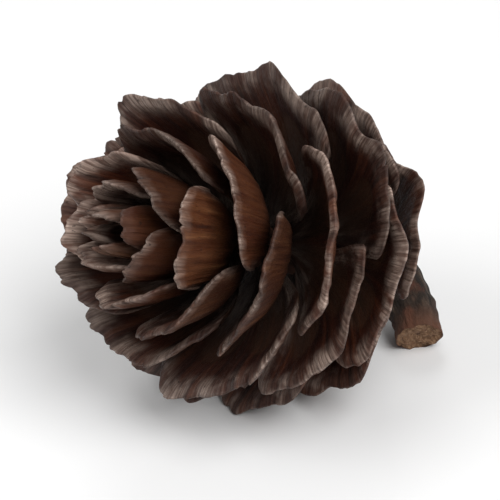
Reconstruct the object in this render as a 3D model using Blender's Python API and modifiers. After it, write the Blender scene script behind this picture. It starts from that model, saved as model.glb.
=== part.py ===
"""An open larch cone with thin, rounded, wavy-edged scales and a short bent stub of stalk, lying as picked.

The cone is built upright, tip up, with its lowest scale rooted at height zero. It is then laid down with its
tip towards -X and raised, and rests on the edges of two of its widest scales and on the end of its stalk.
Metres throughout, angles in degrees.
"""

import math
import random
from dataclasses import dataclass

import bmesh
import bpy
from mathutils import Matrix, Vector

# How many scales there are, and how they wind up the axis
SCALE_COUNT = 40
TURN_PER_SCALE = 137.508
CROWDING_AT_TIP = 1.3

# How far each scale strays from the rule, as seeded draws
SEED = 31
TURN_STRAY = 4.0
RIM_HEIGHT_STRAY = 0.0003
RIM_RADIUS_RANGE = (0.97, 1.02)
WIDTH_RANGE = (0.93, 1.05)
FLARE_RANGE = (0.4, 1.3)
CUP_RANGE = (0.3, 1.3)
WAVE_RANGE = (0.6, 1.2)

# The egg shape that the scales' edges reach, as two half ellipses that meet at the widest row
WIDEST_RADIUS = 0.0126
WIDEST_HEIGHT = 0.0108
RISE_TO_TIP = 0.0172
DROP_TO_BASE = 0.0108
LOWEST_ROW_ANGLE = -36.0
HIGHEST_ROW_ANGLE = 86.5

# The woody axis that the scales grow from
AXIS_RADIUS = 0.0023
AXIS_TIP_RADIUS = 0.0012
AXIS_SHOULDER = 0.008
AXIS_BOTTOM = -0.0009
LOWEST_ROOT = 0.0
HIGHEST_ROOT = 0.0205
AXIS_SIDES = 12

# One scale: its root in the axis, its width round the cone, its rounded outline and its curve
THICKNESS = 0.0007
ROOT_SHARE = 0.5
HALF_WIDTH = 45.0
ROOT_WIDTH_SHARE = 0.72
FULL_WIDTH_FROM = 0.6
ROUNDED_SHARE = 0.34
ROUNDING_POWER = 2.3
BULGE_OUT = 0.66
BULGE_UP = 0.12
TIP_BELLY = 0.0085
BELLY_FADE = 1.15
FLARE = 0.0007
CUP = 0.07

# The waves along a scale's edge: how strong each is, and how many half waves it has on either side
WAVE = 0.00055
SCALLOP = 0.032
BROAD_RIPPLE = (0.6, 2.1)
FINE_RIPPLE = (0.4, 3.6)

# The grid that a scale is bent from, coarser for the small scales at the tip
CELLS_ACROSS = 10
CELLS_ALONG = 4
SMALL_RIM_RADIUS = 0.0065
SMALL_CELLS_ACROSS = 6
SMALL_CELLS_ALONG = 3

# The stub of stalk, thickest where it meets the cone and a little swollen at its broken end
STALK_LENGTH = 0.0095
STALK_RADIUS = 0.0023
STALK_TAPER = 0.2
STALK_SWELL = 0.07
STALK_SWELL_POWER = 6
STALK_BEND = 110.0
STALK_BEND_POWER = 0.45
STALK_BEND_TURN = 60.0
STALK_POINTS = 9
STALK_BEVEL_STEPS = 3
SEAT_GAP = 0.0003
MERGE_DISTANCE = 0.00001

# How it lies: rolled about its own axis, then leant over from upright
ROLL = 174.45
LEAN = -63.55
FLAT_DEPTH = 0.0003

SHARP_ANGLE = 40.0
SCALE_COLOUR = (0.16, 0.075, 0.038, 1.0)
STALK_COLOUR = (0.045, 0.026, 0.017, 1.0)


@dataclass
class Scale:
    """One scale's own place, reach and drawn irregularities."""

    turn: float
    root_height: float
    rim_radius: float
    rim_height: float
    half_width: float
    belly: float
    flare: float
    cup: float
    wave: float
    phase: float
    second_phase: float


def all_scales():
    """The scales from the lowest to the highest, each a golden turn on from the one before."""
    draw = random.Random(SEED)
    scales = []
    for index in range(SCALE_COUNT):
        along = index / (SCALE_COUNT - 1)
        share = 1 - (1 - along) ** CROWDING_AT_TIP
        row = math.radians(LOWEST_ROW_ANGLE + share * (HIGHEST_ROW_ANGLE - LOWEST_ROW_ANGLE))
        reach = RISE_TO_TIP if row > 0 else DROP_TO_BASE
        openness = math.cos(row)
        level = WIDEST_HEIGHT + reach * math.sin(row)
        scales.append(
            Scale(
                turn=math.radians(index * TURN_PER_SCALE + draw.uniform(-TURN_STRAY, TURN_STRAY)),
                root_height=LOWEST_ROOT + share * (HIGHEST_ROOT - LOWEST_ROOT),
                rim_radius=WIDEST_RADIUS * openness * draw.uniform(*RIM_RADIUS_RANGE),
                rim_height=level + draw.uniform(-RIM_HEIGHT_STRAY, RIM_HEIGHT_STRAY),
                half_width=math.radians(HALF_WIDTH * draw.uniform(*WIDTH_RANGE)),
                belly=TIP_BELLY * share**3 * (BELLY_FADE - share),
                flare=FLARE * openness * draw.uniform(*FLARE_RANGE),
                cup=CUP * draw.uniform(*CUP_RANGE),
                wave=WAVE * openness * draw.uniform(*WAVE_RANGE),
                phase=draw.uniform(0, 2 * math.pi),
                second_phase=draw.uniform(0, 2 * math.pi),
            )
        )
    return scales


def axis_radius(height):
    """The woody axis is straight up to its shoulder, and tapers from there to the tip."""
    share = (height - AXIS_SHOULDER) / (HIGHEST_ROOT - AXIS_SHOULDER)
    return AXIS_RADIUS + max(0.0, share) * (AXIS_TIP_RADIUS - AXIS_RADIUS)


def scale_point(scale, along, across):
    """A point of a scale's middle surface: along runs 0 to 1 from root to edge, across runs -1 to 1."""
    ripple = BROAD_RIPPLE[0] * math.sin(BROAD_RIPPLE[1] * math.pi * across + scale.phase)
    ripple += FINE_RIPPLE[0] * math.sin(FINE_RIPPLE[1] * math.pi * across + scale.second_phase)
    rounded = max(0.0, 1 - abs(across) ** ROUNDING_POWER) ** (1 / ROUNDING_POWER)
    rounding = 1 - ROUNDED_SHARE * (1 - rounded)
    along *= rounding + SCALLOP * ripple * along**3
    root_radius = axis_radius(scale.root_height) * ROOT_SHARE
    out = scale.rim_radius - root_radius
    rise = scale.rim_height - scale.root_height
    bend = 2 * along * (1 - along)
    radius = root_radius + out * (bend * BULGE_OUT + along**2) + scale.belly * bend
    height = scale.root_height + rise * (bend * BULGE_UP + along**2)
    radius += scale.flare * along**6 + scale.wave * along**4 * ripple
    radius *= 1 - scale.cup * across**2 * along
    opened = math.sin(math.pi / 2 * min(1.0, along / FULL_WIDTH_FROM))
    width = scale.half_width * (ROOT_WIDTH_SHARE + (1 - ROOT_WIDTH_SHARE) * opened)
    angle = scale.turn + across * width
    return Vector((radius * math.cos(angle), radius * math.sin(angle), height))


def material(name, colour, roughness):
    """A plain Principled material."""
    made = bpy.data.materials.new(name)
    made.use_nodes = True
    shader = made.node_tree.nodes["Principled BSDF"]
    shader.inputs["Base Color"].default_value = colour
    shader.inputs["Roughness"].default_value = roughness
    shader.inputs["Metallic"].default_value = 0.0
    return made


def finish_surface(made, surface):
    """Gives an object its one material, and smooths it between its real edges."""
    made.data.materials.clear()
    made.data.materials.append(surface)
    made.data.polygons.foreach_set("material_index", [0] * len(made.data.polygons))
    made.data.shade_smooth()
    made.data.set_sharp_from_angle(angle=math.radians(SHARP_ANGLE))


def new_object(name, mesh, collection):
    """An object of this mesh, linked into the collection."""
    made = bpy.data.objects.new(name, mesh)
    collection.objects.link(made)
    return made


def new_collection(name):
    """A collection under the scene's own."""
    made = bpy.data.collections.new(name)
    bpy.context.scene.collection.children.link(made)
    return made


def scale_blade(scale, index, collection):
    """One scale: a grid bent to the scale's surface, split into triangles and given its thickness."""
    small = scale.rim_radius < SMALL_RIM_RADIUS
    cells_along = SMALL_CELLS_ALONG if small else CELLS_ALONG
    cells_across = SMALL_CELLS_ACROSS if small else CELLS_ACROSS
    shape = bmesh.new()
    bmesh.ops.create_grid(shape, x_segments=cells_along, y_segments=cells_across, size=1)
    bmesh.ops.triangulate(shape, faces=shape.faces)
    for vertex in shape.verts:
        along = (vertex.co.x + 1) / 2
        across = math.sin(vertex.co.y * math.pi / 2)
        vertex.co = scale_point(scale, along, across)
    mesh = bpy.data.meshes.new(f"scale_{index:02d}")
    shape.to_mesh(mesh)
    shape.free()
    blade = new_object(mesh.name, mesh, collection)
    shell = blade.modifiers.new("thickness", "SOLIDIFY")
    shell.thickness = THICKNESS
    shell.offset = 0
    return blade


def woody_axis(collection):
    """The axis inside the cone: a turned profile, widest at the base and rounded at the tip."""
    profile = [
        (0, HIGHEST_ROOT + AXIS_TIP_RADIUS),
        (AXIS_TIP_RADIUS, HIGHEST_ROOT),
        (AXIS_RADIUS, AXIS_SHOULDER),
        (AXIS_RADIUS, AXIS_BOTTOM),
        (0, AXIS_BOTTOM),
    ]
    mesh = bpy.data.meshes.new("cone")
    points = [(radius, 0, height) for radius, height in profile]
    mesh.from_pydata(points, [(at, at + 1) for at in range(len(points) - 1)], [])
    axis = new_object("cone", mesh, collection)
    turn = axis.modifiers.new("turned", "SCREW")
    turn.steps = turn.render_steps = AXIS_SIDES
    turn.use_merge_vertices = True
    turn.merge_threshold = MERGE_DISTANCE
    return axis


def applied(made):
    """The object with its modifiers made part of its mesh."""
    graph = bpy.context.evaluated_depsgraph_get()
    mesh = bpy.data.meshes.new_from_object(made.evaluated_get(graph))
    made.modifiers.clear()
    made.data = mesh
    return made


def linked_verts(start):
    """Every vertex that edges join to this one."""
    found = {start}
    waiting = [start]
    while waiting:
        for edge in waiting.pop().link_edges:
            for vertex in edge.verts:
                if vertex not in found:
                    found.add(vertex)
                    waiting.append(vertex)
    return found


def fill_sealed_hollows(mesh):
    """Keeps the outer skin alone, so that a pocket closed off where scales cross becomes solid."""
    shape = bmesh.new()
    shape.from_mesh(mesh)
    outermost = max(shape.verts, key=lambda vertex: vertex.co.xy.length)
    skin = linked_verts(outermost)
    pockets = [vertex for vertex in shape.verts if vertex not in skin]
    bmesh.ops.delete(shape, geom=pockets, context="VERTS")
    bmesh.ops.triangulate(shape, faces=shape.faces)
    shape.to_mesh(mesh)
    shape.free()


def cone_body(collection):
    """The scales and the axis that they grow from, joined in one solid."""
    blades = new_collection("scale_blades")
    for index, scale in enumerate(all_scales()):
        scale_blade(scale, index, blades)
    cone = woody_axis(collection)
    joined = cone.modifiers.new("joined", "BOOLEAN")
    joined.operation = "UNION"
    joined.operand_type = "COLLECTION"
    joined.collection = blades
    joined.solver = "MANIFOLD"
    applied(cone)
    fill_sealed_hollows(cone.data)
    for blade in list(blades.objects):
        bpy.data.objects.remove(blade)
    bpy.data.collections.remove(blades)
    return cone


def stalk_stub(collection):
    """The stalk: a short tapering stem that leaves the base straight and bends to one side."""
    curve = bpy.data.curves.new("stalk_path", "CURVE")
    curve.dimensions = "3D"
    curve.bevel_depth = STALK_RADIUS
    curve.bevel_resolution = STALK_BEVEL_STEPS
    curve.use_fill_caps = True
    line = curve.splines.new("POLY")
    line.points.add(STALK_POINTS - 1)
    step = STALK_LENGTH / (STALK_POINTS - 1)
    side = Vector((math.cos(math.radians(STALK_BEND_TURN)), math.sin(math.radians(STALK_BEND_TURN)), 0))
    place = Vector((0, 0, AXIS_BOTTOM - SEAT_GAP))
    for index, point in enumerate(line.points):
        share = index / (STALK_POINTS - 1)
        point.co = (*place, 1)
        point.radius = 1 - STALK_TAPER * share + STALK_SWELL * share**STALK_SWELL_POWER
        bend = math.radians(STALK_BEND) * share**STALK_BEND_POWER
        place = place + step * (math.sin(bend) * side - math.cos(bend) * Vector((0, 0, 1)))
    tube = bpy.data.objects.new("stalk_tube", curve)
    bpy.context.scene.collection.objects.link(tube)
    bpy.context.view_layer.update()
    graph = bpy.context.evaluated_depsgraph_get()
    mesh = bpy.data.meshes.new_from_object(tube.evaluated_get(graph))
    shape = bmesh.new()
    shape.from_mesh(mesh)
    bmesh.ops.remove_doubles(shape, verts=shape.verts, dist=MERGE_DISTANCE)
    shape.to_mesh(mesh)
    shape.free()
    bpy.data.objects.remove(tube)
    return new_object("stalk", mesh, collection)


def lay_down(pieces):
    """Turns the pieces onto their side and brings their lowest edge just under the surface."""
    holder = bpy.data.objects.new("laid_cone", None)
    pieces[0].users_collection[0].objects.link(holder)
    turned = Matrix.Rotation(math.radians(LEAN), 4, "Y") @ Matrix.Rotation(math.radians(ROLL), 4, "Z")
    corners = [turned @ vertex.co for piece in pieces for vertex in piece.data.vertices]
    low = [min(corner[axis] for corner in corners) for axis in range(3)]
    high = [max(corner[axis] for corner in corners) for axis in range(3)]
    shift = Vector((-(low[0] + high[0]) / 2, -(low[1] + high[1]) / 2, -low[2] - FLAT_DEPTH))
    holder.matrix_world = Matrix.Translation(shift) @ turned
    for piece in pieces:
        piece.parent = holder


def rest_flat(pieces, cutters):
    """Takes a small flat off whatever reaches lowest, at the level of the surface."""
    size = 4 * WIDEST_RADIUS
    bpy.ops.mesh.primitive_cube_add(size=size, location=(0, 0, -size / 2))
    slab = bpy.context.object
    slab.name = "surface_cutter"
    slab.users_collection[0].objects.unlink(slab)
    cutters.objects.link(slab)
    slab.hide_render = True
    slab.display_type = "WIRE"
    for piece in pieces:
        flat = piece.modifiers.new("flat", "BOOLEAN")
        flat.operation = "DIFFERENCE"
        flat.object = slab
        flat.solver = "MANIFOLD"


def main():
    for old in list(bpy.data.objects):
        bpy.data.objects.remove(old)
    parts = new_collection("larch_cone")
    cutters = new_collection("cutters")
    cone = cone_body(parts)
    stalk = stalk_stub(parts)
    finish_surface(cone, material("scale_wood", SCALE_COLOUR, 0.75))
    finish_surface(stalk, material("stalk_bark", STALK_COLOUR, 0.85))
    lay_down([cone, stalk])
    rest_flat([cone, stalk], cutters)


main()
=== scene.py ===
"""The looks of the larch cone: ragged grained scales on a woody axis, bracts, a bark stalk, floor and light.

The scales repeat the part's own rule with far finer grids. Metres throughout, and angles in degrees. A place
on a scale is told by along, which runs 0 to 1 from its root to its edge, and across, which runs -1 to 1 round
the cone. A mark is a value that each point of a mesh carries for its material to read.
"""

import math
import random
from types import SimpleNamespace

import bpy
import numpy as np
from mathutils import Matrix, Vector


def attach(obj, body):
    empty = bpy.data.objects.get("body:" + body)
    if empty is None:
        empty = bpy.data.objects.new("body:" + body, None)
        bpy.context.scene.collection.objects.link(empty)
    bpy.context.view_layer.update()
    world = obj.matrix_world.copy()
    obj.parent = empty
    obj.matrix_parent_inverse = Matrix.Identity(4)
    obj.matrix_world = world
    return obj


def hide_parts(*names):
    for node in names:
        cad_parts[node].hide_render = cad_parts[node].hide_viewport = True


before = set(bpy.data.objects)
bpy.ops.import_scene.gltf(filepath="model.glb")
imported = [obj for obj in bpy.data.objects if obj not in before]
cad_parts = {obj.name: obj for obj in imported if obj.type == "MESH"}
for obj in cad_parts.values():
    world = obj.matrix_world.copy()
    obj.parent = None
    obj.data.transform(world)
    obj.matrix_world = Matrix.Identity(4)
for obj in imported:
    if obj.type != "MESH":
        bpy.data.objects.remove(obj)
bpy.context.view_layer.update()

# How many scales there are, and how they wind up the axis, as in the part
SCALE_COUNT = 40
TURN_PER_SCALE = 137.508
CROWDING_AT_TIP = 1.3

# How far each scale strays from the rule, with the part's own seed and draws
SEED = 31
TURN_STRAY = 4.0
RIM_HEIGHT_STRAY = 0.0003
RIM_RADIUS_RANGE = (0.97, 1.02)
WIDTH_RANGE = (0.93, 1.05)
FLARE_RANGE = (0.4, 1.3)
CUP_RANGE = (0.3, 1.3)
WAVE_RANGE = (0.6, 1.2)

# The egg shape that the scales' edges reach, as two half ellipses that meet at the widest row
WIDEST_RADIUS = 0.0126
WIDEST_HEIGHT = 0.0108
RISE_TO_TIP = 0.0172
DROP_TO_BASE = 0.0108
LOWEST_ROW_ANGLE = -36.0
HIGHEST_ROW_ANGLE = 86.5

# The woody axis: the part's own sizes, then its finer rings, its rounded ends and the ridges that wind up it,
# each as a share of its radius, the number of them round it and how fast they wind
AXIS_RADIUS = 0.0023
AXIS_TIP_RADIUS = 0.0012
AXIS_SHOULDER = 0.008
AXIS_BOTTOM = -0.0009
LOWEST_ROOT = 0.0
HIGHEST_ROOT = 0.0205
AXIS_OVER_ROOTS = 0.0006
AXIS_RINGS = 90
AXIS_SIDES = 48
AXIS_ROUNDING = 0.0009
AXIS_END_SHARE_SQUARED = 0.0002
AXIS_LEVEL = 0.97
AXIS_RIDGES = ((0.05, 7, 160), (0.03, 13, -420))

# One scale: its root in the axis, its width round the cone, its rounded outline and its curve
ROOT_SHARE = 0.5
HALF_WIDTH = 45.0
ROOT_WIDTH_SHARE = 0.72
FULL_WIDTH_FROM = 0.6
ROUNDED_SHARE = 0.34
ROUNDING_POWER = 2.3
BULGE_OUT = 0.66
BULGE_UP = 0.12
TIP_BELLY = 0.0085
BELLY_FADE = 1.15
FLARE = 0.0007
CUP = 0.07

# The waves along its edge: how strong each is, and how many half waves it has on either side
WAVE = 0.00055
SCALLOP = 0.032
BROAD_RIPPLE = (0.6, 2.1)
FINE_RIPPLE = (0.4, 3.6)

# The stalk's path and width, as in the part
STALK_LENGTH = 0.0095
STALK_RADIUS = 0.0023
STALK_TAPER = 0.2
STALK_SWELL = 0.07
STALK_SWELL_POWER = 6
STALK_BEND = 110.0
STALK_BEND_POWER = 0.45
STALK_BEND_TURN = 60.0
STALK_POINTS = 9
SEAT_GAP = 0.0003

# How the part lies: rolled about its own axis, leant over, and moved to stand over the origin
ROLL = 174.45
LEAN = -63.55
LAID_AT = (0.0105681, -0.0000039, 0.0073171)

# The grid that a scale is bent from, with its rows closer together towards the edge
FINE_SEED = 77
SMALL_RIM_RADIUS = 0.0065
SMALL_GRID = (28, 64)
LARGE_GRID = (38, 110)
EDGE_PACKING = 1.5

# Its thickness: it fades from root to edge, once more just short of the edge, and is a little uneven there
ROOT_THICKNESS = 0.0009
EDGE_THICKNESS = 0.00056
THINS_UNTIL = 0.8
EDGE_THINNING = 0.0008
EDGE_THINNEST = 0.4
EDGE_ROUNDING = 0.00014
UNEVENNESS = 0.12
UNEVEN_KNOTS = 46

# How much longer a scale is than its chord, and the place towards its root from which it narrows no more
CURVE_OVER_CHORD = 1.1
NARROWEST_ALONG = 0.2

# What its edge falls short by: for each kind of wear its depth, its knots and how sharp its deep places are
EDGE_WEAR = ((0.02, 13, 1), (0.017, 37, 2), (0.01, 90, 2))
SHORTFALL_POWER = 7
CHIP_COUNTS = (0, 1, 2)
CHIP_DEPTH = 0.036
CHIP_WIDTH = 0.07
CHIP_POWER = 2.5
CRACK_COUNTS = (0, 1, 1, 2)
CRACK_DEPTH = 0.09
CRACK_WIDTH = 0.02
CRACK_POWER = 1.0
CUT_REACH = 0.8
CUT_WIDTH_RANGE = (0.6, 1.4)
CUT_DEPTH_RANGE = (0.35, 1.0)

# Its lip, which lies back towards the axis and then curls off it at the edge, and the ruffle along it
LIP = 0.0013
LIP_POWER = 8
LIP_SETBACK = 0.97
LIP_SETBACK_POWER = 3
LIP_VARIATION = 0.5
LIP_KNOTS = 5
RUFFLE = 0.00024
RUFFLE_POWER = 6
RUFFLE_KNOTS = 9
FINE_RUFFLE_KNOTS = 23
FINE_RUFFLE_SHARE = 0.5

# Its relief: ridges that run to the edge, broad lumps, and the two prints that the seeds left inside
RIDGE_HEIGHT = 0.00005
RIDGE_KNOTS = 24
FINE_RIDGE_KNOTS = 47
FINE_RIDGE_SHARE = 0.7
RIDGE_AT_ROOT = 0.4
LUMP_SHARE = 0.8
LUMP_KNOTS_ACROSS = 7
LUMP_KNOTS_ALONG = 6
RELIEF_STARTS = 0.0007
INNER_RELIEF_SHARE = 0.4
PRINT_DEPTH = 0.00012
PRINT_ACROSS = 0.4
PRINT_ALONG = 0.42
PRINT_HALF_WIDTH = 0.34
PRINT_HALF_LENGTH = 0.36
PRINT_BORDER = (0.75, 1.1)

# How far apart the grain of one scale, bract or collar scale lies from the next one's
SCALE_GRAIN_STEP = 11.7
BRACT_GRAIN_STEP = 5.3
COLLAR_GRAIN_STEP = 7

# The bracts on the lowest scales: narrow blades that end in a point and stand a little off the scale
BRACTED_SCALES = 14
BRACT_GRID = (22, 8)
BRACT_START = 0.12
BRACT_REACH_RANGE = (0.26, 0.36)
BRACT_HALF_WIDTH = 0.0011
BRACT_NARROWS = (0.25, 0.8)
BRACT_POINT_HALF_WIDTH = 0.00022
BRACT_POINT_FADE = 0.8
BRACT_ARC_FACTOR = 1.3
BRACT_ARC_FROM = 0.15
BRACT_OFFSET = 0.08
BRACT_BEND = 0.05
BRACT_BEND_KNOTS = 4
BRACT_LIFT = 0.0005
BRACT_POINT_LIFT = 0.0003
BRACT_WAVER = 0.00012
BRACT_WAVER_KNOTS = 6
BRACT_FOLD = 0.00025
BRACT_FOLD_WIDTH = 0.0013
BRACT_THICKNESS = 0.00022
BRACT_END_TAPER = 6
BRACT_GRAIN = (1.2, 6)

# The collar scales that crowd round the stalk
COLLAR_COUNT = 9
COLLAR_GRID = (16, 14)
COLLAR_LENGTH_RANGE = (0.0022, 0.0034)
COLLAR_SHORTEST = 0.45
COLLAR_WEAR = 0.06
COLLAR_WEAR_KNOTS = 7
COLLAR_ROOT_RADIUS = 0.0017
COLLAR_HEIGHT = -0.0007
COLLAR_HEIGHT_STRAY = 0.00028
COLLAR_RISE = 0.3
COLLAR_HALF_WIDTH_RANGE = (34, 44)
COLLAR_THICKNESS = 0.0003
COLLAR_END_TAPER = 4
COLLAR_GRAIN = (2, 4)
BLADE_ROUNDING = 0.3

# The stalk's skin: its rings of points, and its bark's ridges (number and height), bud scars and growth rings
STALK_SUNK = 0.0014
STALK_RINGS = 110
STALK_SIDES = 84
BARK_LEVEL = 0.95
BARK_RIDGES = ((9, 0.035), (21, 0.022))
RIDGE_SWING = 0.05
RIDGE_SWINGS = 5
SCAR_COUNT = 7
SCAR_HEIGHT = 0.055
SCAR_LENGTH = 0.045
SCAR_WIDTH = 0.5
SCAR_RANGE = (0.05, 0.95)
GROWTH_RING = 0.018
GROWTH_RINGS = 46
GROWTH_RING_DRIFT = (1.5, 9)
STALK_START_SHARE = 0.01

# Its torn end: a ragged rim, and a hollowed face with two sets of splinters, by height, number and twist
RIM_TEAR = 0.05
RIM_PULLED_IN = 0.03
RIM_KNOTS = 24
RIM_STARTS = 0.93
BREAK_RINGS = 14
BREAK_EDGE_SHARE = 0.93
BREAK_MIDDLE_SHARE = 0.002
BREAK_HOLLOW = 0.00035
BREAK_HOLLOW_POWER = 0.6
BREAK_SPLINTERS = ((0.00016, 5, 9), (0.0001, 11, -14))

# The grain runs in millimetres along, and goes round the axis and the stalk on a circle of this radius
MILLIMETRES = 1000
ROUND_GRAIN = 2

# A point that is nearer than this to a border lies on it, and no normal is divided by less than this
ON_BORDER = 1e-9
SHORTEST_NORMAL = 1e-12

# The pieces that the scales are joined in: name, first scale, and the one after the last
SCALE_GROUPS = (("scales_base", 0, 11), ("scales_middle", 11, 22), ("scales_tip", 22, SCALE_COUNT))

# The lamps: name, azimuth, elevation, distance, size and power
LAMPS = (
    ("key", 0, 55, 0.55, 0.4, 2.9),
    ("fill", -110, 45, 0.6, 0.35, 1.5),
    ("back", 150, 50, 0.6, 0.3, 0.8),
)
LAMP_TARGET = Vector((0, 0, 0.01))
SKY_STRENGTH = 0.26
FLOOR_RADIUS = 2.5
FLOOR_GREY = 0.8

CAMERA_AZIMUTH = -39.0
CAMERA_ELEVATION = 34.0
CAMERA_DISTANCE = 0.19
CAMERA_TARGET = Vector((0.0, 0.0, 0.0118))
CAMERA_LENS = 180.0

turned = Matrix.Rotation(math.radians(LEAN), 4, "Y") @ Matrix.Rotation(math.radians(ROLL), 4, "Z")
LAID = np.array(Matrix.Translation(LAID_AT) @ turned)


def laid(points):
    """Upright points turned to the way that the part lies, and flattened where they rest on the surface."""
    placed = points @ LAID[:3, :3].T + LAID[:3, 3]
    placed[:, 2] = np.maximum(placed[:, 2], 0.0)
    return placed


def smooth(low, high, value):
    """0 below low, 1 above high, and an S curve between."""
    share = np.clip((value - low) / (high - low), 0, 1)
    return share * share * (3 - 2 * share)


def swelling(share):
    """How a rounded edge swells: a quarter of a circle, from 0 on its border to 1 where share reaches 1."""
    return np.sqrt(1 - (1 - np.clip(share, 0, 1)) ** 2)


def wander(draw, knots, at):
    """A smooth seeded curve between -1 and 1, read at places from 0 to 1."""
    heights = np.array([draw.uniform(-1, 1) for _ in range(knots + 1)])
    place = np.clip(at, 0, 1) * knots
    low = np.minimum(place.astype(int), knots - 1)
    share = smooth(0, 1, place - low)
    return heights[low] * (1 - share) + heights[low + 1] * share


def all_scales():
    """The part's scales, from the lowest to the highest."""
    draw = random.Random(SEED)
    scales = []
    for index in range(SCALE_COUNT):
        along = index / (SCALE_COUNT - 1)
        share = 1 - (1 - along) ** CROWDING_AT_TIP
        row = math.radians(LOWEST_ROW_ANGLE + share * (HIGHEST_ROW_ANGLE - LOWEST_ROW_ANGLE))
        reach = RISE_TO_TIP if row > 0 else DROP_TO_BASE
        openness = math.cos(row)
        level = WIDEST_HEIGHT + reach * math.sin(row)
        scales.append(
            SimpleNamespace(
                index=index,
                turn=math.radians(index * TURN_PER_SCALE + draw.uniform(-TURN_STRAY, TURN_STRAY)),
                root_height=LOWEST_ROOT + share * (HIGHEST_ROOT - LOWEST_ROOT),
                rim_radius=WIDEST_RADIUS * openness * draw.uniform(*RIM_RADIUS_RANGE),
                rim_height=level + draw.uniform(-RIM_HEIGHT_STRAY, RIM_HEIGHT_STRAY),
                half_width=math.radians(HALF_WIDTH * draw.uniform(*WIDTH_RANGE)),
                belly=TIP_BELLY * share**3 * (BELLY_FADE - share),
                flare=FLARE * openness * draw.uniform(*FLARE_RANGE),
                cup=CUP * draw.uniform(*CUP_RANGE),
                wave=WAVE * openness * draw.uniform(*WAVE_RANGE),
                phase=draw.uniform(0, 2 * math.pi),
                second_phase=draw.uniform(0, 2 * math.pi),
            )
        )
    return scales


def axis_radius(height):
    """The woody axis is straight up to its shoulder, and tapers from there to the tip."""
    share = (height - AXIS_SHOULDER) / (HIGHEST_ROOT - AXIS_SHOULDER)
    return AXIS_RADIUS + max(0.0, share) * (AXIS_TIP_RADIUS - AXIS_RADIUS)


def middle_surface(scale, along, across, short=0.0, bend_out=0.0):
    """Points of a scale's middle surface. short takes a share off its length, bend_out moves it outwards."""
    ripple = BROAD_RIPPLE[0] * np.sin(BROAD_RIPPLE[1] * np.pi * across + scale.phase)
    ripple += FINE_RIPPLE[0] * np.sin(FINE_RIPPLE[1] * np.pi * across + scale.second_phase)
    rounded = np.maximum(0.0, 1 - np.abs(across) ** ROUNDING_POWER) ** (1 / ROUNDING_POWER)
    along = along * (1 - ROUNDED_SHARE * (1 - rounded) + SCALLOP * ripple * along**3)
    along = along * (1 - short * along**SHORTFALL_POWER)
    root_radius = axis_radius(scale.root_height) * ROOT_SHARE
    out = scale.rim_radius - root_radius
    rise = scale.rim_height - scale.root_height
    bend = 2 * along * (1 - along)
    radius = root_radius + out * (bend * BULGE_OUT + along**2) + scale.belly * bend
    height = scale.root_height + rise * (bend * BULGE_UP + along**2)
    radius = radius + scale.flare * along**6 + scale.wave * along**4 * ripple + bend_out
    radius = radius * (1 - scale.cup * across**2 * along)
    opened = np.sin(np.pi / 2 * np.minimum(1.0, along / FULL_WIDTH_FROM))
    angle = scale.turn + across * scale.half_width * (ROOT_WIDTH_SHARE + (1 - ROOT_WIDTH_SHARE) * opened)
    return np.stack([radius * np.cos(angle), radius * np.sin(angle), height], axis=-1)


def grid(steps, columns):
    """The places of a grid's points along and across, closer together towards both of its sides."""
    turn = np.linspace(-1, 1, columns + 1)
    return np.meshgrid(steps, np.sin(turn * np.pi / 2), indexing="ij")


def grain(across, along, offset):
    """Where a material reads its noises: across and along the fibres, and an offset that sets parts apart."""
    return np.stack([across, along, np.full_like(along, offset)], axis=-1)


def outward(middle):
    """Unit normals of a grid of points, on the side that faces away from the cone's tip."""
    rows = np.gradient(middle, axis=0)
    columns = np.gradient(middle, axis=1)
    normal = np.cross(columns, rows)
    return normal / np.maximum(np.linalg.norm(normal, axis=-1, keepdims=True), SHORTEST_NORMAL)


def blade(middle, normal, thickness, border):
    """The two faces of a thin blade with rounded edges. border is 0 on its border and grows inwards."""
    half = thickness * swelling(border / BLADE_ROUNDING) / 2
    return middle + normal * half[..., None], middle - normal * half[..., None]


def shell(outer, inner, marks):
    """One closed skin from two grids that meet at their border. Each mark is an outer and an inner grid."""
    rows, columns = outer.shape[:2]
    front = np.arange(rows * columns).reshape(rows, columns)
    back = front.copy()
    count = (rows - 2) * (columns - 2)
    back[1:-1, 1:-1] = rows * columns + np.arange(count).reshape(rows - 2, columns - 2)

    def corners(ids):
        return np.stack([ids[:-1, :-1], ids[:-1, 1:], ids[1:, 1:], ids[1:, :-1]], axis=-1).reshape(-1, 4)

    quads = np.concatenate([corners(front), corners(back)[:, ::-1]])
    points = np.concatenate([outer.reshape(-1, 3), inner[1:-1, 1:-1].reshape(-1, 3)])
    values = {}
    for name, (face, reverse) in marks.items():
        tail = face.shape[2:]
        values[name] = np.concatenate([face.reshape(-1, *tail), reverse[1:-1, 1:-1].reshape(-1, *tail)])
    return points, quads, values


def joined(shells):
    """Several skins as one set of points, faces and marks."""
    points = np.concatenate([made[0] for made in shells])
    starts = np.cumsum([0] + [len(made[0]) for made in shells[:-1]])
    quads = np.concatenate([made[1] + start for made, start in zip(shells, starts)])
    marks = {name: np.concatenate([made[2][name] for made in shells]) for name in shells[0][2]}
    return points, quads, marks


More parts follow.
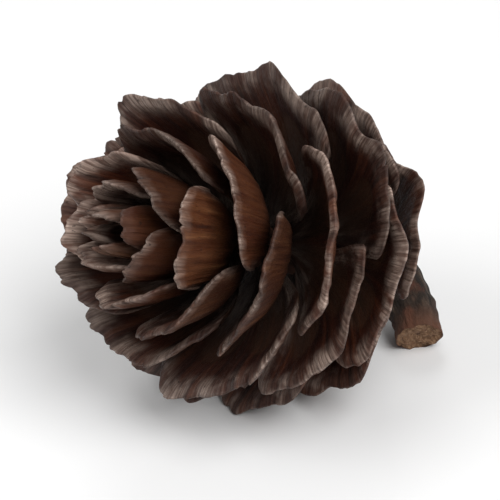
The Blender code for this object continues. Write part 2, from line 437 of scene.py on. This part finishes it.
def piece(name, made, surface, node):
    """A mesh object of these points, quads and marks, dressed and tied to the frame."""
    points, quads, marks = made
    mesh = bpy.data.meshes.new(name)
    mesh.vertices.add(len(points))
    mesh.vertices.foreach_set("co", laid(points).astype(np.float32).ravel())
    mesh.loops.add(quads.size)
    mesh.loops.foreach_set("vertex_index", quads.astype(np.int32).ravel())
    mesh.polygons.add(len(quads))
    mesh.polygons.foreach_set("loop_start", np.arange(0, quads.size, 4, dtype=np.int32))
    mesh.update(calc_edges=True)
    for mark, values in marks.items():
        vector = values.ndim == 2
        layer = mesh.attributes.new(mark, "FLOAT_VECTOR" if vector else "FLOAT", "POINT")
        layer.data.foreach_set("vector" if vector else "value", values.astype(np.float32).ravel())
    mesh.shade_smooth()
    mesh.materials.append(surface)
    made_object = bpy.data.objects.new(name, mesh)
    bpy.context.scene.collection.objects.link(made_object)
    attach(made_object, "root")
    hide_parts(node)


def cuts(draw, across, count, deep, wide, power):
    """Splits or chips in a scale's edge. A power of 1 cuts a V, and a higher one cuts a rounder bay."""
    depth = np.zeros_like(across)
    for _ in range(count):
        place = draw.uniform(-CUT_REACH, CUT_REACH)
        width = wide * draw.uniform(*CUT_WIDTH_RANGE)
        away = np.minimum(1, np.abs(across - place) / width)
        depth = np.maximum(depth, deep * draw.uniform(*CUT_DEPTH_RANGE) * (1 - away**power))
    return depth


def ragged_edge(draw, across):
    """The share that a scale's edge falls short by: broad bays, teeth, fraying, chips and splits."""
    place = (across + 1) / 2
    short = np.zeros_like(across)
    for depth, knots, power in EDGE_WEAR:
        short = short + depth * (0.5 + 0.5 * wander(draw, knots, place)) ** power
    chips = cuts(draw, across, draw.choice(CHIP_COUNTS), CHIP_DEPTH, CHIP_WIDTH, CHIP_POWER)
    cracks = cuts(draw, across, draw.choice(CRACK_COUNTS), CRACK_DEPTH, CRACK_WIDTH, CRACK_POWER)
    return np.maximum(np.maximum(short, chips), cracks)


def seed_prints(along, across):
    """1 inside the two shallow prints that the seeds left on a scale's inner face, and 0 around them."""
    prints = np.zeros_like(along)
    for side in (-1, 1):
        away = ((across - PRINT_ACROSS * side) / PRINT_HALF_WIDTH) ** 2
        away = away + ((along - PRINT_ALONG) / PRINT_HALF_LENGTH) ** 2
        prints = np.maximum(prints, 1 - smooth(*PRINT_BORDER, away))
    return prints


def fine_scale(scale, draw):
    """One scale: rounded ragged edge, curled lip, ridged outer face, and the seeds' prints inside."""
    rows, columns = SMALL_GRID if scale.rim_radius < SMALL_RIM_RADIUS else LARGE_GRID
    along, across = grid(1 - (1 - np.linspace(0, 1, rows + 1)) ** EDGE_PACKING, columns)
    place = (across + 1) / 2
    size = scale.rim_radius / WIDEST_RADIUS
    short = ragged_edge(draw, across)
    wavy = wander(draw, RUFFLE_KNOTS, place) + FINE_RUFFLE_SHARE * wander(draw, FINE_RUFFLE_KNOTS, place)
    ruffle = RUFFLE * size * wavy * along**RUFFLE_POWER
    curl = along**LIP_POWER - LIP_SETBACK * along**LIP_SETBACK_POWER
    curl = LIP * size * (1 + LIP_VARIATION * wander(draw, LIP_KNOTS, place)) * curl
    middle = middle_surface(scale, along, across, short, ruffle + curl)
    normal = outward(middle)

    length = np.linalg.norm(middle[-1, columns // 2] - middle[0, columns // 2]) * CURVE_OVER_CHORD
    arc = scale.rim_radius * scale.half_width
    to_side = (1 - np.abs(across)) * arc * np.maximum(along, NARROWEST_ALONG)
    edge = np.minimum((1 - along) * length, to_side)
    border = np.minimum(edge, along * length)
    swell = swelling(border / EDGE_ROUNDING)
    thick = (ROOT_THICKNESS + (EDGE_THICKNESS - ROOT_THICKNESS) * smooth(0, THINS_UNTIL, along)) * swell
    thick = thick * (EDGE_THINNEST + (1 - EDGE_THINNEST) * smooth(0, EDGE_THINNING, edge))
    thick = thick * (1 + UNEVENNESS * along**4 * wander(draw, UNEVEN_KNOTS, place))

    ridges = 1 - 2 * np.abs(wander(draw, RIDGE_KNOTS, place))
    ridges = ridges + FINE_RIDGE_SHARE * wander(draw, FINE_RIDGE_KNOTS, place)
    ridges = ridges * (RIDGE_AT_ROOT + (1 - RIDGE_AT_ROOT) * along)
    lumps = wander(draw, LUMP_KNOTS_ACROSS, place) * wander(draw, LUMP_KNOTS_ALONG, along)
    relief = RIDGE_HEIGHT * (ridges + LUMP_SHARE * lumps) * smooth(0, RELIEF_STARTS, edge) * swell
    prints = seed_prints(along, across)
    hollow = INNER_RELIEF_SHARE * relief + PRINT_DEPTH * prints * swell
    outer = middle + normal * (thick / 2 + relief)[..., None]
    inner = middle - normal * (thick / 2 - hollow)[..., None]

    fibres = grain(across * arc * MILLIMETRES, along * length * MILLIMETRES, scale.index * SCALE_GRAIN_STEP)
    tone = np.full_like(along, draw.uniform(0, 1))
    hue = np.full_like(along, draw.uniform(0, 1))
    half_inside_at_border = np.where(border < ON_BORDER, 0.5, 0.0)
    marks = {
        "inside": (half_inside_at_border, np.ones_like(along)),
        "edge_mm": (edge * MILLIMETRES, edge * MILLIMETRES),
        "along": (along, along),
        "prints": (np.zeros_like(along), prints),
        "grain": (fibres, fibres),
        "tone": (tone, tone),
        "hue": (hue, hue),
    }
    return shell(outer, inner, marks)


def bract(scale, draw):
    """The narrow pointed bract that lies against the outer face of a scale, near its root."""
    rows, columns = BRACT_GRID
    down, side = grid(np.linspace(0, 1, rows + 1), columns)
    reach = draw.uniform(*BRACT_REACH_RANGE)
    half_width = BRACT_HALF_WIDTH * (1 - smooth(*BRACT_NARROWS, down))
    half_width = half_width + BRACT_POINT_HALF_WIDTH * (1 - BRACT_POINT_FADE * down)
    along = BRACT_START + reach * down
    arc = scale.rim_radius * scale.half_width * np.maximum(along, BRACT_ARC_FROM) * BRACT_ARC_FACTOR
    centre = draw.uniform(-BRACT_OFFSET, BRACT_OFFSET) + BRACT_BEND * wander(draw, BRACT_BEND_KNOTS, down)
    middle = middle_surface(scale, along, centre + side * half_width / arc)
    normal = outward(middle)
    lift = BRACT_LIFT + BRACT_POINT_LIFT * down**2 + BRACT_WAVER * wander(draw, BRACT_WAVER_KNOTS, down)
    lift = lift - BRACT_FOLD * side**2 * half_width / BRACT_FOLD_WIDTH
    border = np.minimum(np.minimum(down, 1 - down) * BRACT_END_TAPER, 1 - np.abs(side))
    outer, inner = blade(middle + normal * lift[..., None], normal, BRACT_THICKNESS, border)
    fibres = grain(side * BRACT_GRAIN[0], down * BRACT_GRAIN[1], scale.index * BRACT_GRAIN_STEP)
    return shell(outer, inner, {"along": (down, down), "grain": (fibres, fibres)})


def collar_scale(turn, draw):
    """One of the small dry scales that crowd round the stalk under the lowest full scales."""
    rows, columns = COLLAR_GRID
    down, side = grid(np.linspace(0, 1, rows + 1), columns)
    length = draw.uniform(*COLLAR_LENGTH_RANGE)
    rounded = np.sqrt(np.maximum(0.0, 1 - side**2))
    reach = down * (COLLAR_SHORTEST + (1 - COLLAR_SHORTEST) * rounded)
    reach = reach * (1 - COLLAR_WEAR * (1 + wander(draw, COLLAR_WEAR_KNOTS, (side + 1) / 2)))
    radius = COLLAR_ROOT_RADIUS + length * reach
    height = COLLAR_HEIGHT + COLLAR_HEIGHT_STRAY * draw.uniform(-1, 1) + length * COLLAR_RISE * reach**2
    angle = turn + side * math.radians(draw.uniform(*COLLAR_HALF_WIDTH_RANGE))
    middle = np.stack([radius * np.cos(angle), radius * np.sin(angle), height], axis=-1)
    border = np.minimum(np.minimum(down, 1 - down) * COLLAR_END_TAPER, 1 - np.abs(side))
    outer, inner = blade(middle, outward(middle), COLLAR_THICKNESS, border)
    fibres = grain(side * COLLAR_GRAIN[0], down * COLLAR_GRAIN[1], turn * COLLAR_GRAIN_STEP)
    return shell(outer, inner, {"along": (down, down), "grain": (fibres, fibres)})


def rings(sections, around):
    """The faces of a closed skin through rings of points, each with an even number of points around it."""
    count = len(sections)
    ids = np.arange(count * around).reshape(count, around)
    following = np.roll(ids, -1, axis=1)
    sides = np.stack([ids[:-1], following[:-1], following[1:], ids[1:]], axis=-1).reshape(-1, 4)
    near = np.arange(around // 2 - 1)
    lid = np.stack([near, near + 1, around - 2 - near, around - 1 - near], axis=-1)
    return np.concatenate([sides, lid[:, ::-1], lid + (count - 1) * around])


def round_angles(count):
    """This many angles round a circle, in radians."""
    return np.linspace(0, 2 * np.pi, count, endpoint=False)


def woody_axis():
    """The axis that the scales grow from, uneven where it shows between them."""
    heights = np.linspace(AXIS_BOTTOM - SEAT_GAP, HIGHEST_ROOT + AXIS_OVER_ROOTS, AXIS_RINGS)
    radii = np.array([axis_radius(height) for height in heights])
    close = np.minimum(1, np.minimum(heights - heights[0], heights[-1] - heights) / AXIS_ROUNDING)
    radii = radii * np.sqrt(np.maximum(AXIS_END_SHARE_SQUARED, 1 - (1 - close) ** 2))
    angle = round_angles(AXIS_SIDES)
    ridges = 0.0
    for strength, count, twist in AXIS_RIDGES:
        wave = np.sin(count * angle[None, :] + twist * heights[:, None])
        ridges = ridges + strength * wave * close[:, None]
    radius = radii[:, None] * (AXIS_LEVEL + ridges)
    height = np.repeat(heights[:, None], AXIS_SIDES, axis=1)
    points = np.stack([radius * np.cos(angle), radius * np.sin(angle), height], axis=-1)
    lap = np.broadcast_to(angle, radius.shape)
    fibres = np.stack([np.cos(lap) * ROUND_GRAIN, np.sin(lap) * ROUND_GRAIN, height * MILLIMETRES], axis=-1)
    return points.reshape(-1, 3), rings(points, AXIS_SIDES), {"grain": fibres.reshape(-1, 3)}


def stalk_path():
    """The part's own path for the stalk: its points, and which way it bends."""
    turn = math.radians(STALK_BEND_TURN)
    side = np.array([math.cos(turn), math.sin(turn), 0.0])
    step = STALK_LENGTH / (STALK_POINTS - 1)
    place = np.array([0.0, 0.0, AXIS_BOTTOM - SEAT_GAP])
    points = []
    for index in range(STALK_POINTS):
        points.append(place)
        bend = math.radians(STALK_BEND) * (index / (STALK_POINTS - 1)) ** STALK_BEND_POWER
        place = place + step * (math.sin(bend) * side - math.cos(bend) * np.array([0.0, 0.0, 1.0]))
    return np.array(points), side


def curve_through(points, count):
    """Evenly spaced points and directions of a smooth curve through these points."""
    padded = np.concatenate([[2 * points[0] - points[1]], points, [2 * points[-1] - points[-2]]])
    place = np.linspace(0, len(points) - 1, count)
    low = np.minimum(place.astype(int), len(points) - 2)
    share = (place - low)[:, None]
    before, start, end, after = (padded[low + shift] for shift in range(4))
    found = 0.5 * (
        2 * start
        + (end - before) * share
        + (2 * before - 5 * start + 4 * end - after) * share**2
        + (3 * start - before - 3 * end + after) * share**3
    )
    way = np.gradient(found, axis=0)
    return found, way / np.linalg.norm(way, axis=1, keepdims=True)


def bark_relief(share, angle, draw):
    """The bark's radius as a share of the stalk's: ridges along it, the scars of buds, and growth rings."""
    lap = angle / (2 * np.pi)
    ridges = 0.0
    for count, strength in BARK_RIDGES:
        knots = np.array([draw.uniform(-1, 1) for _ in range(count)])
        swing = RIDGE_SWING * np.sin(share * RIDGE_SWINGS + count)
        place = (lap[None, :] + swing[:, None]) % 1 * count
        low = place.astype(int) % count
        mixed = smooth(0, 1, place - np.floor(place))
        ridges = ridges + strength * (knots[low] * (1 - mixed) + knots[(low + 1) % count] * mixed)
    scars = 0.0
    for _ in range(SCAR_COUNT):
        at = draw.uniform(*SCAR_RANGE)
        centre = draw.uniform(0, 2 * np.pi)
        turn_away = np.abs((angle - centre + np.pi) % (2 * np.pi) - np.pi)
        lengthwise = np.exp(-(((share - at) / SCAR_LENGTH) ** 2))
        crosswise = np.exp(-((turn_away / SCAR_WIDTH) ** 2))
        scars = scars + SCAR_HEIGHT * (lengthwise[:, None] * crosswise[None, :])
    drift = GROWTH_RING_DRIFT[0] * np.sin(share * GROWTH_RING_DRIFT[1])
    growth_rings = GROWTH_RING * np.sin(share * GROWTH_RINGS + drift)[:, None]
    return BARK_LEVEL + ridges + scars + growth_rings


def torn_rim(share, angle, draw):
    """A factor that leaves the stalk as it is up to its last stretch, and makes its end ragged."""
    heights = [draw.uniform(-1, 1) for _ in range(RIM_KNOTS - 1)] + [0.0]
    torn = 1 + RIM_TEAR * np.interp(angle / (2 * np.pi), np.linspace(0, 1, RIM_KNOTS), heights)
    return 1 + smooth(RIM_STARTS, 1.0, share)[:, None] * (torn[None, :] - (1 + RIM_PULLED_IN))


def stalk(draw):
    """The bark stalk: it grows out of the axis, has ringed, ridged bark, and ends in a torn pale break."""
    points, side = stalk_path()
    points = np.concatenate([[points[0] + np.array([0, 0, STALK_SUNK])], points])
    path, way = curve_through(points, STALK_RINGS)
    across = np.cross(side, [0.0, 0.0, 1.0])
    across = across / np.linalg.norm(across)
    up = np.cross(way, across)
    share = np.clip((np.linspace(0, STALK_POINTS, STALK_RINGS) - 1) / (STALK_POINTS - 1), 0, 1)
    radius = STALK_RADIUS * (1 - STALK_TAPER * share + STALK_SWELL * share**STALK_SWELL_POWER)
    angle = round_angles(STALK_SIDES)
    wide = radius[:, None] * bark_relief(share, angle, draw) * torn_rim(share, angle, draw)
    spokes = np.cos(angle)[None, :, None] * up[:, None, :] + np.sin(angle)[None, :, None] * across
    tube = path[:, None, :] + wide[..., None] * spokes

    shrink = np.linspace(BREAK_EDGE_SHARE, BREAK_MIDDLE_SHARE, BREAK_RINGS)
    cap = []
    for inward in shrink:
        dip = -BREAK_HOLLOW * (1 - inward) ** BREAK_HOLLOW_POWER
        for height, count, twist in BREAK_SPLINTERS:
            dip = dip + height * np.sin(count * angle + twist * inward) * inward
        cap.append(path[-1] + (wide[-1] * inward)[:, None] * spokes[-1] + dip[:, None] * way[-1])
    start = path[0] + STALK_START_SHARE * (tube[0] - path[0])
    sections = np.concatenate([[start], tube, cap])

    bark_rings = STALK_RINGS + 1
    cut = np.concatenate([np.zeros(bark_rings), np.ones(BREAK_RINGS)])
    spread = np.concatenate([np.ones(bark_rings), shrink])
    along = np.concatenate([[0], share, np.ones(BREAK_RINGS)])
    run = np.repeat(along[:, None] * STALK_LENGTH * MILLIMETRES, STALK_SIDES, axis=1)
    round_x = np.cos(angle)[None, :] * ROUND_GRAIN * spread[:, None]
    round_y = np.sin(angle)[None, :] * ROUND_GRAIN * spread[:, None]
    marks = {
        "cut": np.repeat(cut, STALK_SIDES),
        "spread": np.repeat(spread, STALK_SIDES),
        "along": np.repeat(along, STALK_SIDES),
        "grain": np.stack([round_x, round_y, run], axis=-1).reshape(-1, 3),
    }
    # These rings run the other way round than the axis's, so their faces are turned over to look outward
    return sections.reshape(-1, 3), rings(sections, STALK_SIDES)[:, ::-1], marks


def srgb(red, green, blue):
    """A colour as a screen shows it, 0 to 255, in the linear values that shaders take."""
    values = [part / 255 for part in (red, green, blue)]
    return tuple(v / 12.92 if v <= 0.04045 else ((v + 0.055) / 1.055) ** 2.4 for v in values) + (1.0,)


# The colours of the wood, and where on a noise each step of a ramp stands
OUTER_WOOD = (
    (0.26, srgb(40, 17, 8)),
    (0.43, srgb(74, 37, 18)),
    (0.58, srgb(96, 56, 32)),
    (0.76, srgb(128, 86, 54)),
)
# The inner faces: their own darker red-brown, deepened further as painted shade
INNER_WOOD_AND_PAINTED_SHADE = ((0.32, srgb(35, 12, 7)), (0.5, srgb(70, 31, 18)), (0.68, srgb(102, 56, 35)))
ORANGE_PATCH = srgb(96, 56, 31)
GREY_MOTTLE = srgb(92, 70, 54)
RED_SCALE = srgb(78, 36, 22)
SEED_PRINT = srgb(98, 66, 46)
# The pale edge band: weathered wood, and a painted sheen where the lips would catch the light
PALE_WEAR_AND_PAINTED_SHEEN = srgb(124, 101, 90)
PALEST_WEAR_AND_PAINTED_SHEEN = srgb(182, 160, 147)
DARK_RIM = srgb(52, 31, 22)
SPECK = srgb(40, 24, 18)
BRACT_PAPER = ((0.32, srgb(52, 29, 21)), (0.52, srgb(96, 58, 40)), (0.7, srgb(134, 94, 68)))
BRACT_TIP = srgb(112, 84, 64)
AXIS_WOOD = ((0.34, srgb(36, 21, 16)), (0.5, srgb(70, 43, 31)), (0.68, srgb(112, 76, 54)))
BARK = (
    (0.32, srgb(15, 11, 8)),
    (0.47, srgb(36, 27, 20)),
    (0.6, srgb(62, 48, 38)),
    (0.74, srgb(104, 89, 75)),
)
RED_BARK = srgb(92, 52, 36)
BARK_AT_BREAK = srgb(112, 72, 52)
TORN_WOOD = ((0.3, srgb(98, 68, 50)), (0.5, srgb(144, 110, 82)), (0.72, srgb(184, 152, 122)))
TORN_WOOD_RING = srgb(106, 72, 52)
PITH = srgb(70, 40, 26)


class Surface:
    """A material built node by node. An input that is given a socket is linked, and any other is set."""

    def __init__(self, name):
        self.material = bpy.data.materials.new(name)
        self.material.use_nodes = True
        self.nodes = self.material.node_tree.nodes
        self.links = self.material.node_tree.links
        self.shader = self.nodes["Principled BSDF"]

    def feed(self, socket, value):
        if isinstance(value, bpy.types.NodeSocket):
            self.links.new(value, socket)
        else:
            socket.default_value = value

    def add(self, kind, inputs, **settings):
        made = self.nodes.new(kind)
        for name, value in settings.items():
            setattr(made, name, value)
        for name, value in inputs.items():
            self.feed(made.inputs[name], value)
        return made

    def mark(self, name, output="Fac"):
        """A mark of the mesh."""
        return self.add("ShaderNodeAttribute", {}, attribute_name=name).outputs[output]

    def noise(self, vector, stretch, detail, roughness, distortion=0.0):
        """A noise whose stretch says how many lumps there are to a unit of the grain, on each of its axes."""
        scaled = self.add("ShaderNodeVectorMath", {0: vector, 1: stretch}, operation="MULTIPLY").outputs[0]
        look = {"Detail": detail, "Roughness": roughness, "Distortion": distortion}
        return self.add("ShaderNodeTexNoise", {"Vector": scaled, "Scale": 1.0, **look}).outputs["Fac"]

    def spread(self, value, low, high, to_low=0.0, to_high=1.0):
        """The value as it goes from low to high, taken smoothly from to_low to to_high."""
        values = {"Value": value, "From Min": low, "From Max": high, "To Min": to_low, "To Max": to_high}
        return self.add("ShaderNodeMapRange", values, interpolation_type="SMOOTHSTEP").outputs["Result"]

    def math(self, operation, first, second=0.0):
        return self.add("ShaderNodeMath", {0: first, 1: second}, operation=operation).outputs[0]

    def total(self, *terms):
        """The sum of sockets, each given with its weight."""
        summed = None
        for socket, weight in terms:
            term = socket if weight == 1 else self.math("MULTIPLY", socket, weight)
            summed = term if summed is None else self.math("ADD", summed, term)
        return summed

    def mix(self, factor, first, second, blend="MIX"):
        made = self.nodes.new("ShaderNodeMix")
        made.data_type = "RGBA"
        made.blend_type = blend
        self.feed(made.inputs[0], factor)
        self.feed(made.inputs[6], first)
        self.feed(made.inputs[7], second)
        return made.outputs[2]

    def ramp(self, value, stops):
        made = self.add("ShaderNodeValToRGB", {"Fac": value})
        elements = made.color_ramp.elements
        for position, colour in stops[2:]:
            elements.new(position).color = colour
        for element, (position, colour) in zip(elements, sorted(stops)):
            element.position = position
            element.color = colour
        return made.outputs["Color"]

    def grey(self, value):
        return self.add("ShaderNodeCombineColor", {0: value, 1: value, 2: value}).outputs[0]

    def finish(self, colour, roughness, height, depth, specular=0.35):
        """Feeds the shader, with bumps that are depth metres high where height is 1."""
        bump = self.add("ShaderNodeBump", {"Height": height, "Strength": 1.0, "Distance": depth})
        self.feed(self.shader.inputs["Base Color"], colour)
        self.feed(self.shader.inputs["Roughness"], roughness)
        self.feed(self.shader.inputs["Normal"], bump.outputs["Normal"])
        self.shader.inputs["Specular IOR Level"].default_value = specular
        return self.material


def scale_surface():
    """Dry scale wood: streaked tan and red-brown outside, darker inside with painted shade, with a paler edge
    band that is part weathering and part painted sheen, and painted shade towards the root.
    """
    s = Surface("scale_wood_grain")
    fibre_lay = s.mark("grain", "Vector")
    streaks = s.noise(fibre_lay, (1.5, 0.11, 1.0), 5.0, 0.62, 0.25)
    fibres = s.noise(fibre_lay, (5.0, 0.22, 1.0), 4.0, 0.7, 0.15)
    fine = s.noise(fibre_lay, (9.0, 2.4, 1.0), 3.0, 0.6)
    patches = s.noise(fibre_lay, (0.24, 0.17, 1.0), 3.0, 0.5)
    mottle = s.noise(fibre_lay, (1.4, 1.1, 1.0), 5.0, 0.65)
    wear_and_sheen_patches = s.noise(fibre_lay, (0.42, 0.3, 1.0), 3.0, 0.6)
    speck_noise = s.noise(fibre_lay, (3.2, 2.6, 1.0), 2.0, 0.5)

    outer = s.ramp(streaks, OUTER_WOOD)
    outer = s.mix(s.spread(patches, 0.46, 0.64, 0.0, 0.65), outer, ORANGE_PATCH)
    outer = s.mix(s.spread(mottle, 0.54, 0.74, 0.0, 0.2), outer, GREY_MOTTLE)
    outer = s.mix(s.spread(s.mark("hue"), 0.0, 1.0, 0.0, 0.5), outer, RED_SCALE)
    # The inner face is darker partly by its own colour and partly by painted shade
    inner = s.mix(s.math("MULTIPLY", s.mark("prints"), 0.55), s.ramp(streaks, INNER_WOOD_AND_PAINTED_SHADE), SEED_PRINT)
    colour = s.mix(s.mark("inside"), outer, inner)

    # A paler band along each edge, part weathering and part painted sheen; it reaches further onto the inner
    # face, where the lit lips are painted
    from_edge = s.total((s.mark("edge_mm"), 1), (fibres, 1), (mottle, 0.9))
    from_edge = s.math("SUBTRACT", from_edge, s.math("MULTIPLY", s.mark("inside"), 1.2))
    fading = s.spread(wear_and_sheen_patches, 0.4, 0.62, 0.12, 1.0)
    wear_and_painted_sheen = s.math("MULTIPLY", s.spread(from_edge, 0.3, 2.1, 1.0, 0.0), fading)
    colour = s.mix(wear_and_painted_sheen, colour, s.mix(s.spread(fibres, 0.36, 0.62), PALE_WEAR_AND_PAINTED_SHEEN, PALEST_WEAR_AND_PAINTED_SHEEN))
    rim = s.math("MULTIPLY", s.spread(s.mark("edge_mm"), 0.0, 0.22, 0.55, 0.0), s.spread(mottle, 0.4, 0.6))
    colour = s.mix(rim, colour, DARK_RIM)
    colour = s.mix(s.spread(speck_noise, 0.66, 0.74, 0.0, 0.65), colour, SPECK)

    # Painted shade: each scale grows darker towards its root, where it lies deep between the others; the tone
    # below carries this together with each scale's own random tone and grain
    depth = s.spread(s.mark("along"), 0.2, 0.82, 0.34, 1.0)
    tone = s.math("MULTIPLY", depth, s.spread(s.mark("tone"), 0.0, 1.0, 0.5, 0.92))
    tone = s.math("MULTIPLY", tone, s.spread(fibres, 0.32, 0.66, 0.84, 1.12))
    colour = s.mix(1.0, colour, s.grey(tone), "MULTIPLY")
    roughness = s.math("SUBTRACT", s.spread(fine, 0.3, 0.7, 0.42, 0.68), s.math("MULTIPLY", wear_and_painted_sheen, 0.24))
    height = s.total((streaks, 0.5), (fibres, 0.55), (fine, 0.3))
    return s.finish(colour, roughness, height, 0.00018, 0.28)


def bract_surface():
    """Papery red-brown bracts with greyer tips."""
    s = Surface("bract_paper")
    streaks = s.noise(s.mark("grain", "Vector"), (3.0, 0.3, 1.0), 4.0, 0.6)
    colour = s.mix(s.spread(s.mark("along"), 0.5, 1.0, 0.0, 0.4), s.ramp(streaks, BRACT_PAPER), BRACT_TIP)
    return s.finish(colour, s.spread(streaks, 0.3, 0.7, 0.55, 0.8), streaks, 0.00008)


def axis_surface():
    """The dark rough wood of the axis."""
    s = Surface("axis_wood")
    lumps = s.noise(s.mark("grain", "Vector"), (1.2, 1.2, 0.6), 5.0, 0.65)
    return s.finish(s.ramp(lumps, AXIS_WOOD), s.spread(lumps, 0.3, 0.7, 0.65, 0.9), lumps, 0.0003)


def bark_surface():
    """Dark cracked bark with grey and reddish patches, and pale torn wood at the break."""
    s = Surface("stalk_bark_grain")
    fibre_lay = s.mark("grain", "Vector")
    plates = s.noise(fibre_lay, (1.5, 1.5, 0.55), 6.0, 0.68, 0.3)
    fine = s.noise(fibre_lay, (5.0, 5.0, 2.2), 4.0, 0.65)
    patches = s.noise(fibre_lay, (0.5, 0.5, 0.35), 3.0, 0.5)
    bark = s.mix(s.spread(patches, 0.5, 0.66, 0.0, 0.6), s.ramp(plates, BARK), RED_BARK)
    bark = s.mix(s.spread(s.mark("along"), 0.72, 1.0, 0.0, 0.55), bark, BARK_AT_BREAK)
    growth_rings = s.math("SINE", s.total((s.mark("spread"), 26.0), (fine, 5.0)))
    wood = s.mix(s.spread(growth_rings, 0.0, 1.0, 0.0, 0.4), s.ramp(fine, TORN_WOOD), TORN_WOOD_RING)
    wood = s.mix(s.spread(s.mark("spread"), 0.05, 0.16, 0.8, 0.0), wood, PITH)
    colour = s.mix(s.spread(s.mark("cut"), 0.2, 0.8), bark, wood)
    height = s.total((plates, 0.8), (fine, 0.35))
    return s.finish(colour, s.spread(fine, 0.3, 0.7, 0.7, 0.92), height, 0.0006)


def make_cone():
    """Dresses the cone and the stalk."""
    draw = random.Random(FINE_SEED)
    scales = all_scales()
    shells = [fine_scale(scale, draw) for scale in scales]
    surface = scale_surface()
    for name, first, end in SCALE_GROUPS:
        piece(name, joined(shells[first:end]), surface, "cone")
    bracts = [bract(scale, draw) for scale in scales[:BRACTED_SCALES]]
    for index in range(COLLAR_COUNT):
        bracts.append(collar_scale(index * math.radians(TURN_PER_SCALE), draw))
    piece("bracts", joined(bracts), bract_surface(), "cone")
    piece("cone_axis", woody_axis(), axis_surface(), "cone")
    piece("stalk_bark_and_break", stalk(draw), bark_surface(), "stalk")


def make_floor():
    """A plain pale floor."""
    bpy.ops.mesh.primitive_circle_add(vertices=96, radius=FLOOR_RADIUS, fill_type="NGON", location=(0, 0, 0))
    floor = bpy.context.object
    floor.name = "floor"
    s = Surface("floor_pale")
    s.shader.inputs["Base Color"].default_value = (FLOOR_GREY, FLOOR_GREY, FLOOR_GREY, 1.0)
    s.shader.inputs["Roughness"].default_value = 0.9
    s.shader.inputs["Specular IOR Level"].default_value = 0.1
    floor.data.materials.append(s.material)


def make_light():
    """Three soft boxes and a pale surround."""
    world = bpy.data.worlds.new("surround")
    bpy.context.scene.world = world
    world.use_nodes = True
    sky = world.node_tree.nodes["Background"]
    sky.inputs["Color"].default_value = (1.0, 1.0, 1.0, 1.0)
    sky.inputs["Strength"].default_value = SKY_STRENGTH
    for name, azimuth, elevation, distance, size, power in LAMPS:
        lamp = bpy.data.lights.new(name, "AREA")
        lamp.shape = "SQUARE"
        lamp.size = size
        lamp.energy = power
        holder = bpy.data.objects.new(name, lamp)
        bpy.context.scene.collection.objects.link(holder)
        aim(holder, azimuth, elevation, distance, LAMP_TARGET)


def aim(holder, azimuth, elevation, distance, target):
    """Puts a camera or lamp round the object at these angles, looking at the target."""
    turn, rise = math.radians(azimuth), math.radians(elevation)
    way = Vector((math.sin(turn) * math.cos(rise), -math.cos(turn) * math.cos(rise), math.sin(rise)))
    holder.location = target + way * distance
    holder.rotation_euler = way.to_track_quat("Z", "Y").to_euler()


def make_camera():
    """The photograph's viewing angle, through a long lens, so that near and far scales keep their sizes."""
    lens = bpy.data.cameras.new("camera")
    lens.lens = CAMERA_LENS
    lens.clip_start = 0.01
    lens.clip_end = 10.0
    holder = bpy.data.objects.new("camera", lens)
    bpy.context.scene.collection.objects.link(holder)
    aim(holder, CAMERA_AZIMUTH, CAMERA_ELEVATION, CAMERA_DISTANCE, CAMERA_TARGET)
    bpy.context.scene.camera = holder
    bpy.context.scene.view_settings.view_transform = "Standard"


make_cone()
make_floor()
make_light()
make_camera()
